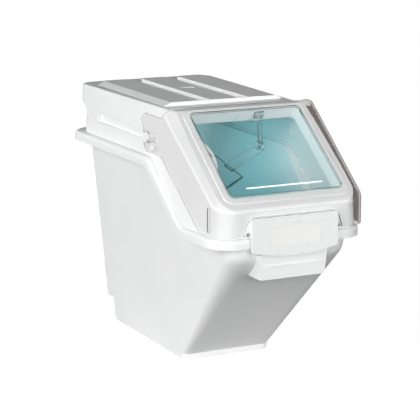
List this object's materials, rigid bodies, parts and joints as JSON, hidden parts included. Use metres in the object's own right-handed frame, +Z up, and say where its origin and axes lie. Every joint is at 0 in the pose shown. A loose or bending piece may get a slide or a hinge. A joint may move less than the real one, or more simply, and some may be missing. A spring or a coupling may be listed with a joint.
{
  "type": "ingredient bin",
  "caption": "Slant-front ingredient bin on a flat foot, with a lift-off lid, a clear tinted-window hood that slides back and tips up, and a hanging scoop.",
  "frame": {"origin": "centre of the bin's outline from above, on the floor under its foot", "axes": "+Z up, front with the sloping window towards -Y, the bin's long way along Y"},
  "size_m": [0.2868, 0.572, 0.436],
  "materials": {
    "white_body": "fine-grained white polyethylene",
    "white_lid": "fine-grained white polyethylene",
    "white_trim": "smooth white plastic",
    "steel_fixings": "plain steel",
    "label_film": "matt write-on film",
    "pin_plastic": "smooth near-white plastic",
    "clear_hood": "clear polycarbonate",
    "tinted_pane": "lightly blue-green tinted clear plastic",
    "clear_scoop": "clear polycarbonate"
  },
  "bodies": {
    "base": {"tub": "white_body", "front_grip": "white_body"},
    "lid": {"lid": "white_lid", "window_bezel": "white_trim", "label_plate": "white_trim", "plate_rivets": "steel_fixings", "label_blank": "label_film", "scoop_hook": "clear_scoop", "hook_rivets": "steel_fixings", "scoop_cradle": "white_trim", "cradle_screw": "steel_fixings"},
    "hood_pins": {"pivot_pin_left": "pin_plastic", "pivot_pin_right": "pin_plastic"},
    "hood": {"hood": "clear_hood", "window_pane": "tinted_pane", "stop_button_left": "pin_plastic", "stop_button_right": "pin_plastic"},
    "scoop": {"scoop": "clear_scoop"}
  },
  "joints": [
    {"name": "lid_lift", "type": "slide", "parent": "base", "child": "lid", "axis": [0, 0, 1], "range_m": [0, 0.2]},
    {"name": "hood_slide", "type": "slide", "parent": "lid", "child": "hood_pins", "axis": [0, 1, 0], "range_m": [0, 0.1]},
    {"name": "hood_tip", "type": "hinge", "parent": "hood_pins", "child": "hood", "pos_m": [0, -0.032, 0.38], "axis": [-1, 0, 0], "range_deg": [0, 75]},
    {"name": "scoop_swing", "type": "hinge", "parent": "lid", "child": "scoop", "pos_m": [0.037, -0.09702, 0.36222], "axis": [0, 0.5947, -0.8039], "range_deg": [0, 12]}
  ],
  "couplings": [
    {"joint": "hood_slide", "follows": "hood_tip", "m_per_rad": 0.07639}
  ]
}
